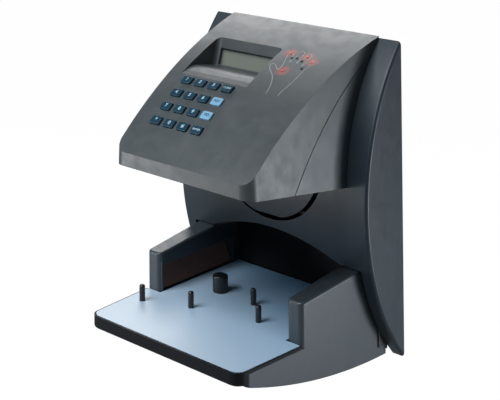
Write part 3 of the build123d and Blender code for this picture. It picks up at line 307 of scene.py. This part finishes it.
mats["cable_grey"] = moulded("cable_grey", (0.40, 0.41, 0.43), rough=0.5, grain=0.1, dust=0.0)
mats["dip_red"] = moulded("dip_red", (0.45, 0.04, 0.03), rough=0.4, grain=0.1, dust=0.0)


def platen_material():
    """Retro-reflective film: fine bead texture over pale blue, slightly rubbed where hands rest, with painted light at
    the front left fading to the painted shadow of the head at the rear.
    """
    t = Tree("platen_reflective")
    sep = t.nt.nodes.new("ShaderNodeSeparateXYZ")
    t.link(t.coord, sep.inputs[0])
    # painted light and shadow across the film: pale where the lamp falls at the front left, deep blue towards the
    # rear, where the head casts its shadow
    light_falloff_axis = t.math("ADD", t.math("MULTIPLY", sep.outputs[1], 1.0), t.math("MULTIPLY", sep.outputs[0], 0.55))
    f = t.ramp(light_falloff_axis, -0.250, -0.130)
    col = t.mix(f, (0.60, 0.69, 0.78), (0.42, 0.57, 0.73))
    col = t.mix(t.ramp(light_falloff_axis, -0.150, 0.010), col, (0.15, 0.34, 0.55))
    rub = t.ramp(t.noise(14.0, 2.0, 0.5), 0.30, 0.70)
    col = t.mix(t.math("MULTIPLY", rub, 0.05), col, (0.70, 0.78, 0.86))
    vor = t.node("ShaderNodeTexVoronoi", Vector=t.coord, Scale=2600.0)
    bead = t.ramp(vor.outputs["Distance"], 0.0, 0.5, 1.0, 0.85)
    col = t.mix(t.math("SUBTRACT", 1.0, bead), col, (0.1, 0.15, 0.25))
    t.link(col, t.bsdf.inputs["Base Color"])
    t.link(t.ramp(t.noise(14.0, 2.0), 0.3, 0.7, 0.42, 0.50), t.bsdf.inputs["Roughness"])
    bump = t.node("ShaderNodeBump", Strength=0.12, Distance=0.00008, Height=vor.outputs["Distance"])
    t.link(bump.outputs[0], t.bsdf.inputs["Normal"])
    set_in(t.bsdf, coat=0.2, coat_rough=0.3)
    return t


def mirror_material():
    t = Tree("mirror_painted_reflection")
    smear = t.noise(22.0, 5.0, 0.7, stretch=(1, 0.4, 2))
    # the brown base colour is a painted reflection: the brownish view that the mirror shows
    col = t.mix(t.ramp(smear, 0.35, 0.7), (0.34, 0.20, 0.165), (0.26, 0.155, 0.135))
    t.link(col, t.bsdf.inputs["Base Color"])
    t.link(t.ramp(smear, 0.35, 0.75, 0.10, 0.22), t.bsdf.inputs["Roughness"])
    set_in(t.bsdf, metal=0.25, coat=0.3, coat_rough=0.05)
    return t


def lcd_material():
    t = Tree("lcd_panel")
    # character cells in the plane of the glass
    m = t.nt.nodes.new("ShaderNodeMapping")
    m.inputs["Rotation"].default_value = (math.radians(-22), 0, 0)
    t.link(t.coord, m.inputs["Vector"])
    br = t.node("ShaderNodeTexBrick", Vector=m.outputs[0], Scale=240.0, Mortar_Size=0.05, Mortar_Smooth=0.3)
    br.offset = 0.0
    br.inputs["Color1"].default_value = (0.150, 0.160, 0.100, 1)
    br.inputs["Color2"].default_value = (0.156, 0.166, 0.104, 1)
    br.inputs["Mortar"].default_value = (0.175, 0.182, 0.118, 1)
    slow = t.ramp(t.noise(30.0, 2.0), 0.35, 0.65)
    col = t.mix(t.math("MULTIPLY", slow, 0.25), br.outputs["Color"], (0.20, 0.20, 0.13))
    t.link(col, t.bsdf.inputs["Base Color"])
    set_in(t.bsdf, rough=0.45, spec=0.25)
    return t


def glass_material(name, color, rough, alpha):
    t = Tree(name)
    smear = t.ramp(t.noise(40.0, 5.0, 0.7), 0.4, 0.75, 0.0, 0.10)
    t.link(t.math("ADD", smear, rough), t.bsdf.inputs["Roughness"])
    t.bsdf.inputs["Base Color"].default_value = (*color, 1)
    set_in(t.bsdf, alpha=alpha, spec=0.35)
    return t


def led_material():
    t = Tree("led_red")
    f = t.ramp(t.noise(500.0, 2.0), 0.3, 0.7)
    col = t.mix(f, (0.42, 0.03, 0.02), (0.62, 0.07, 0.04))
    t.link(col, t.bsdf.inputs["Base Color"])
    t.link(col, t.bsdf.inputs["Emission Color"])
    set_in(t.bsdf, rough=0.3, emit=0.12)
    return t


def print_material(name, color):
    t = Tree(name)
    f = t.ramp(t.noise(1400.0, 3.0), 0.35, 0.65)
    col = t.mix(f, tuple(c * 0.8 for c in color), color)
    t.link(col, t.bsdf.inputs["Base Color"])
    bump = t.node("ShaderNodeBump", Strength=0.2, Distance=0.00005, Height=f)
    t.link(bump.outputs[0], t.bsdf.inputs["Normal"])
    set_in(t.bsdf, rough=0.6, spec=0.15)
    return t


mats["platen_reflective"] = platen_material()
mats["mirror_glass"] = mirror_material()
mats["lcd_panel"] = lcd_material()
mats["lens_glass"] = glass_material("lens_glass", (0.30, 0.33, 0.34), 0.04, 0.18)
mats["window_dark"] = glass_material("window_dark", (0.05, 0.008, 0.012), 0.05, 0.75)
mats["led_red"] = led_material()
mats["ink_white"] = print_material("ink_white", (0.42, 0.55, 0.64))
mats["ink_dark"] = print_material("ink_dark", (0.012, 0.03, 0.06))
mats["ink_pale"] = print_material("ink_pale", (0.30, 0.32, 0.33))
mats["ink_black"] = print_material("ink_black", (0.01, 0.01, 0.012))

slot_of = {s["node"]: s["material_slot"] for s in frame["record"]["subparts"]}
# the base shell takes the darker base_plastic, its painted shade, and the tray its own lighter copy
override = {"base_shell": "base_plastic", "tray_shell": "tray_plastic", "neck_panel": "base_plastic", "throat_liner": "liner_black", "finger_pins": "pin_plastic",
            "web_post": "pin_plastic", "dip_switch": "dip_red", "camera_lens": "pin_plastic", "hinge_leaf": "plate_steel"}
for name, o in nodes.items():
    key = override.get(name, slot_of[name])
    o.data.materials.clear()
    o.data.materials.append(mats[key].mat)


# ---------------------------------------------------------------- pieces
def make(name, verts, faces, mat, body, smooth=False):
    me = bpy.data.meshes.new(name)
    me.from_pydata([tuple(v) for v in verts], [], faces)
    me.validate()
    me.update()
    bm = bmesh.new()
    bm.from_mesh(me)
    bmesh.ops.recalc_face_normals(bm, faces=bm.faces)
    bm.to_mesh(me)
    bm.free()
    for p in me.polygons:
        p.use_smooth = smooth
    o = bpy.data.objects.new(name, me)
    scene.collection.objects.link(o)
    me.materials.append(mats[mat].mat)
    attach(o, body)
    return o


def smooth_line(points, steps=8, closed=False):
    """Catmull-Rom through the points."""
    pts = [Vector((*p, 0)) for p in points]
    n = len(pts)
    out = []
    spans = n if closed else n - 1
    for i in range(spans):
        if closed:
            p0, p1, p2, p3 = (pts[(i + k) % n] for k in (-1, 0, 1, 2))
        else:
            p0, p1, p2, p3 = pts[max(i - 1, 0)], pts[i], pts[i + 1], pts[min(i + 2, n - 1)]
        for k in range(steps):
            u = k / steps
            out.append(0.5 * ((2 * p1) + (p2 - p0) * u + (2 * p0 - 5 * p1 + 4 * p2 - p3) * u * u + (3 * p1 - 3 * p2 + p3 - p0) * u ** 3))
    if not closed:
        out.append(pts[-1])
    return [(p.x, p.y) for p in out]


def printed_line(name, line, width, mat, body, lift=0.03, thick=0.05, closed=False):
    """A raised ink line that follows the curved head top. Points are (x, s) in mm."""
    verts, faces = [], []
    n = len(line)
    for i, (x, s) in enumerate(line):
        if closed:
            a, b = line[(i - 1) % n], line[(i + 1) % n]
        else:
            a, b = line[max(i - 1, 0)], line[min(i + 1, n - 1)]
        dx, ds = b[0] - a[0], b[1] - a[1]
        ln = math.hypot(dx, ds) or 1.0
        nx, ns = -ds / ln * width / 2, dx / ln * width / 2
        taper = 1.0
        for sx, h in ((1, lift), (1, lift + thick), (-1, lift + thick), (-1, lift)):
            verts.append(top_point(x + nx * sx * taper, s + ns * sx * taper, h))
    spans = n if closed else n - 1
    for i in range(spans):
        j = (i + 1) % n
        for k in range(4):
            faces.append((i * 4 + k, i * 4 + (k + 1) % 4, j * 4 + (k + 1) % 4, j * 4 + k))
    if not closed:
        faces.append((0, 1, 2, 3))
        faces.append(tuple((n - 1) * 4 + k for k in (3, 2, 1, 0)))
    return make(name, verts, faces, mat, body)


# hand placement graphic: a plain outline of a right hand, fingers up the slope
hand = [(37.0, 119), (35.5, 110), (32.0, 101), (27.5, 94), (21.5, 88.5), (16.8, 82.5), (17.2, 78.8), (20.6, 78.8), (26.0, 84.0),
        (29.2, 85.0), (28.4, 77), (25.6, 68), (23.6, 61), (24.8, 57.6), (28.0, 57.8), (30.4, 64), (32.8, 72.0), (33.6, 64),
        (33.4, 55.5), (35.2, 52.0), (38.2, 53.4), (39.4, 61), (40.4, 71.5), (42.4, 64), (43.6, 57.0), (45.8, 54.6), (48.4, 57.0),
        (48.4, 65), (47.8, 74.0), (50.2, 69.5), (53.0, 63.8), (55.8, 63.2), (57.0, 66.8), (55.6, 75), (54.2, 84), (54.0, 94),
        (52.6, 104), (51.0, 112), (50.6, 119)]
printed_line("hand_outline", smooth_line(hand, 8), 0.75, "ink_pale", "reader")

# small dark guide marks by the fingers, one for each pin
for i, (x, s) in enumerate([(30.7, 65.0), (36.4, 64.0), (43.6, 67.0), (50.6, 77.6)]):
    ring = [(x + 1.45 * math.cos(a), s + 1.45 * math.sin(a)) for a in [2 * math.pi * k / 20 for k in range(20)]]
    verts = [top_point(px, ps, 0.04) for px, ps in ring] + [top_point(px, ps, 0.16) for px, ps in ring]
    verts += [top_point(x + (px - x) * 0.7, s + (ps - s) * 0.7, 0.24) for px, ps in ring]
    faces = [tuple(range(19, -1, -1))]
    for r0 in (0, 20):
        faces += [(r0 + k, r0 + (k + 1) % 20, r0 + 20 + (k + 1) % 20, r0 + 20 + k) for k in range(20)]
    faces.append(tuple(range(40, 60)))
    make("pin_mark_%d" % (i + 1), verts, faces, "ink_black", "reader")

# tongues behind the curved seams of the head, which close the line of sight through them
for side in (-1, 1):
    rows = []
    for k in range(901):
        t = math.radians(90 + 0.1 * k)
        ring = []
        for r in (329.6, 335.0):
            y, z = 144.6 + r * math.cos(t), -9.6 + r * math.sin(t)
            under = 180.2 + (y + 190.6) * (166.1 - 180.2) / (190.6 - 63.3)
            if math.hypot(y - 106.1, z + 127.6) > 434.2 or z < under + 3.4 or math.hypot(y - 149.8, z - 148.0) < 214.4:
                ring = None
                break
            for inset in (2.85, 3.85):
                x = side * (100.963 + 0.06472 * y - 0.04109 * z - inset)
                ring.append(Vector((x, y, z)) / 1000.0)
        if ring:
            rows.append(ring)
    verts = [p for ring in rows for p in ring]
    order = (0, 1, 3, 2)
    faces = []
    for i in range(len(rows) - 1):
        for k in range(4):
            a, b = order[k], order[(k + 1) % 4]
            faces.append((i * 4 + a, i * 4 + b, i * 4 + 4 + b, i * 4 + 4 + a))
    faces.append(tuple(order))
    faces.append(tuple(len(verts) - 4 + k for k in reversed(order)))
    make("seam_tongue_%s" % ("left" if side < 0 else "right"), verts, faces, "liner_black", "reader")

# key legends
LEGENDS = {"key_1": "1", "key_2": "2", "key_3": "3", "key_4": "4", "key_5": "5", "key_6": "6", "key_7": "7", "key_8": "8", "key_9": "9",
           "key_0": "0", "key_star": "*", "key_hash": "#", "key_clear": "CLEAR", "key_enter": "ENTER", "key_no": "NO", "key_yes": "YES"}
for key, text in LEGENDS.items():
    n = -Vector(joints[key + "_press"]["axis"]).normalized()
    pts = node_points(key)
    top = max(p.dot(n) for p in pts)
    lo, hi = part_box(key)
    mid = (lo + hi) / 2
    mid += n * (top - mid.dot(n))
    yv = n.cross(Vector((1, 0, 0))).normalized()
    curve = bpy.data.curves.new("legend_" + key, "FONT")
    curve.body = text
    curve.align_x, curve.align_y = "CENTER", "CENTER"
    wide = len(text) > 1
    curve.size = 0.0029 if len(text) > 3 else (0.0040 if wide else 0.0056)
    curve.extrude = 0.00004
    curve.offset = 0.00006 if wide else 0.00012
    curve.resolution_u = 6
    tmp = bpy.data.objects.new("legend_tmp", curve)
    scene.collection.objects.link(tmp)
    bpy.context.view_layer.update()
    dg = bpy.context.evaluated_depsgraph_get()
    me = bpy.data.meshes.new_from_object(tmp.evaluated_get(dg))
    bpy.data.objects.remove(tmp)
    rot = Matrix((Vector((1, 0, 0)), yv, n)).transposed().to_4x4()
    me.transform(Matrix.Translation(mid + n * 0.00005) @ rot)
    o = bpy.data.objects.new("legend_" + key, me)
    scene.collection.objects.link(o)
    me.materials.clear()
    me.materials.append(mats["ink_dark" if key in ("key_no", "key_yes") else "ink_white"].mat)
    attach(o, key)

# smooth shading on curved CAD nodes, by angle
for name, o in nodes.items():
    for p in o.data.polygons:
        p.use_smooth = True
    mod = o.modifiers.new("edge_split", "EDGE_SPLIT")
    mod.split_angle = math.radians(24)
    mod.use_edge_sharp = False


# ---------------------------------------------------------------- floor, light, camera
def stage_material():
    t = Tree("pale_floor")
    f = t.ramp(t.noise(3.0, 3.0), 0.3, 0.7)
    t.link(t.mix(f, (0.36, 0.37, 0.38), (0.38, 0.39, 0.40)), t.bsdf.inputs["Base Color"])
    set_in(t.bsdf, rough=0.9, spec=0.1)
    glow = t.node("ShaderNodeEmission", Color=(1, 1, 1, 1), Strength=1.06)
    blend = t.nt.nodes.new("ShaderNodeMixShader")
    seen = t.nt.nodes.new("ShaderNodeLightPath").outputs["Is Camera Ray"]
    t.link(t.math("MULTIPLY", seen, 0.93), blend.inputs[0])
    t.link(t.bsdf.outputs[0], blend.inputs[1])
    t.link(glow.outputs[0], blend.inputs[2])
    t.link(blend.outputs[0], t.out.inputs[0])
    return t


floor_z = -0.245
me = bpy.data.meshes.new("floor")
me.from_pydata([(-30, -30, floor_z), (30, -30, floor_z), (30, 30, floor_z), (-30, 30, floor_z)], [], [(0, 1, 2, 3)])
floor = bpy.data.objects.new("floor", me)
scene.collection.objects.link(floor)
me.materials.append(stage_material().mat)

# the surround looks white from the camera and lights the object more gently than it looks
world = bpy.data.worlds.new("studio")
scene.world = world
world.use_nodes = True
wt = world.node_tree
bg = wt.nodes["Background"]
bg.inputs[0].default_value = (0.80, 0.92, 1.0, 1)
bg.inputs[1].default_value = 0.12
bg_seen = wt.nodes.new("ShaderNodeBackground")
bg_seen.inputs[0].default_value = (1, 1, 1, 1)
wmix = wt.nodes.new("ShaderNodeMixShader")
wt.links.new(wt.nodes.new("ShaderNodeLightPath").outputs["Is Camera Ray"], wmix.inputs[0])
wt.links.new(bg.outputs[0], wmix.inputs[1])
wt.links.new(bg_seen.outputs[0], wmix.inputs[2])
wt.links.new(wmix.outputs[0], wt.nodes["World Output"].inputs[0])


def area(name, loc, target, size, power, color=(1, 1, 1), size_y=None):
    d = bpy.data.lights.new(name, "AREA")
    d.shape = "RECTANGLE"
    d.size, d.size_y = size, size_y or size
    d.energy = power
    d.color = color
    o = bpy.data.objects.new(name, d)
    scene.collection.objects.link(o)
    o.location = loc
    o.rotation_mode = "QUATERNION"
    o.rotation_quaternion = (Vector(target) - Vector(loc)).to_track_quat("-Z", "Y")
    return o


centre = (cad_lo + cad_hi) / 2
area("key_high", (-0.25, -1.15, 1.40), (0.0, -0.15, 0.1), 1.0, 31.0, (0.93, 0.975, 1.0))
area("rear_sheen", (-0.80, 0.80, 0.95), (0.0, -0.05, 0.29), 0.8, 7.6)
area("right_rear", (0.90, 0.38, -0.05), (0.09, -0.16, 0.12), 0.40, 5.6, (0.88, 0.94, 1.0))
area("lip_glint", (-0.66, -0.78, 0.02), (-0.08, -0.19, 0.18), 0.20, 2.6, (0.97, 0.98, 1.0))

# The camera keeps its sensor plane upright, like a view camera, so verticals stay parallel.
az, el, roll = 0.79544180, -0.02817764, -0.00387190
cam_data = bpy.data.cameras.new("camera")
cam = bpy.data.objects.new("camera", cam_data)
scene.collection.objects.link(cam)
scene.camera = cam
cam_data.sensor_width = 36.0
cam_data.lens = 93.82
cam_data.clip_start, cam_data.clip_end = 0.01, 50.0
back = Vector((math.sin(az) * math.cos(el), -math.cos(az) * math.cos(el), math.sin(el)))
right0 = Vector((math.cos(az), math.sin(az), 0))
up0 = right0.cross(-back)
right = right0 * math.cos(roll) + up0 * math.sin(roll)
up = -right0 * math.sin(roll) + up0 * math.cos(roll)
CAM_AT = Vector((0.78935, -1.07474, 0.54942))
cam.rotation_mode = "QUATERNION"
cam.rotation_quaternion = Matrix((right, up, back)).transposed().to_quaternion()
cam.location = CAM_AT
for path, value in (("shift_x", 0.3209), ("shift_y", -0.9301)):
    # the lens shift belongs to this one camera position only
    fc = cam_data.driver_add(path)
    drv = fc.driver
    drv.type = "SCRIPTED"
    var = drv.variables.new()
    var.name = "cx"
    var.type = "SINGLE_PROP"
    var.targets[0].id = cam
    var.targets[0].data_path = "location[0]"
    drv.expression = "%.5f if abs(cx - %.5f) < 0.0005 else 0.0" % (value, CAM_AT.x)

scene.view_settings.view_transform = "Standard"
scene.view_settings.look = "None"
scene.view_settings.exposure = 0.0
scene.view_settings.gamma = 1.0

bpy.context.view_layer.update()
